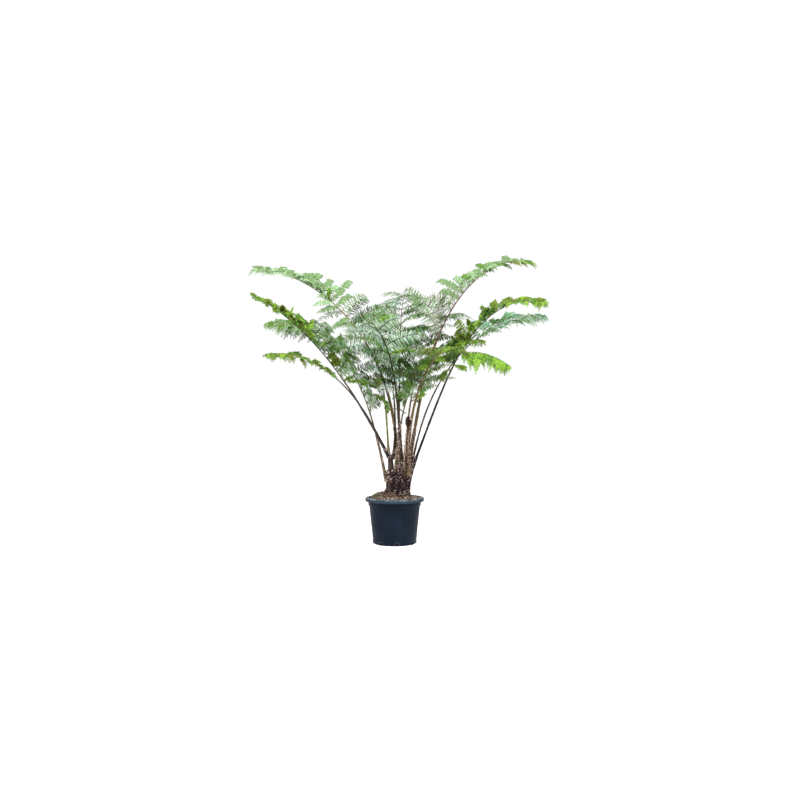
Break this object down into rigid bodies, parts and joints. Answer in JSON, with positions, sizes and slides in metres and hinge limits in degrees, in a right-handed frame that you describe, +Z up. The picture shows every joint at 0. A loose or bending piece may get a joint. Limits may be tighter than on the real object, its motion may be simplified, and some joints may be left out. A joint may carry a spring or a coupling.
{
  "type": "potted tree fern",
  "caption": "Tree fern in a round tapering nursery pot: a short shaggy trunk with long arching feathery fronds that spread on all sides.",
  "frame": {"origin": "centre of the pot's flat underside, on the floor that it stands on", "axes": "+Z up along the pot's axis, +X to the right of the shown side, -Y towards the viewer of the shown side"},
  "size_m": [2.3993, 1.7907, 2.2365],
  "materials": {
    "pot": "satin",
    "soil": "matte",
    "caudex": "matte",
    "stem": "satin",
    "frond": "matte"
  },
  "bodies": {
    "root": {"pot": "pot", "soil": "soil", "caudex": "caudex", "left_stump": "caudex", "cut_stipe": "stem", "stem_back": "stem", "stem_back_left": "stem", "stem_back_right": "stem", "stem_far_left": "stem", "stem_front_left": "stem", "stem_front_right": "stem", "stem_hanging_right": "stem", "stem_low_left": "stem", "stem_low_right": "stem", "stem_mid_left": "stem", "stem_mid_right": "stem", "stem_upper_left": "stem", "stem_upper_right": "stem", "stem_young_centre": "stem", "stem_young_left": "stem", "blade_back_inner": "frond", "blade_back_left_inner": "frond", "blade_back_left_outer": "frond", "blade_back_outer": "frond", "blade_back_right_inner": "frond", "blade_back_right_outer": "frond", "blade_far_left_inner": "frond", "blade_far_left_outer": "frond", "blade_front_left_inner": "frond", "blade_front_left_outer": "frond", "blade_front_right_inner": "frond", "blade_front_right_outer": "frond", "blade_hanging_right_whole": "frond", "blade_low_left_inner": "frond", "blade_low_left_outer": "frond", "blade_low_right_inner": "frond", "blade_low_right_outer": "frond", "blade_mid_left_inner": "frond", "blade_mid_left_outer": "frond", "blade_mid_right_inner": "frond", "blade_mid_right_outer": "frond", "blade_upper_left_inner": "frond", "blade_upper_left_outer": "frond", "blade_upper_right_inner": "frond", "blade_upper_right_outer": "frond", "blade_young_centre_inner": "frond", "blade_young_centre_outer": "frond", "blade_young_left_whole": "frond", "blade_low_centre_inner": "frond", "blade_low_centre_outer": "frond", "blade_young_front_whole": "frond", "stem_low_centre": "stem", "stem_young_front": "stem"}
  },
  "joints": []
}
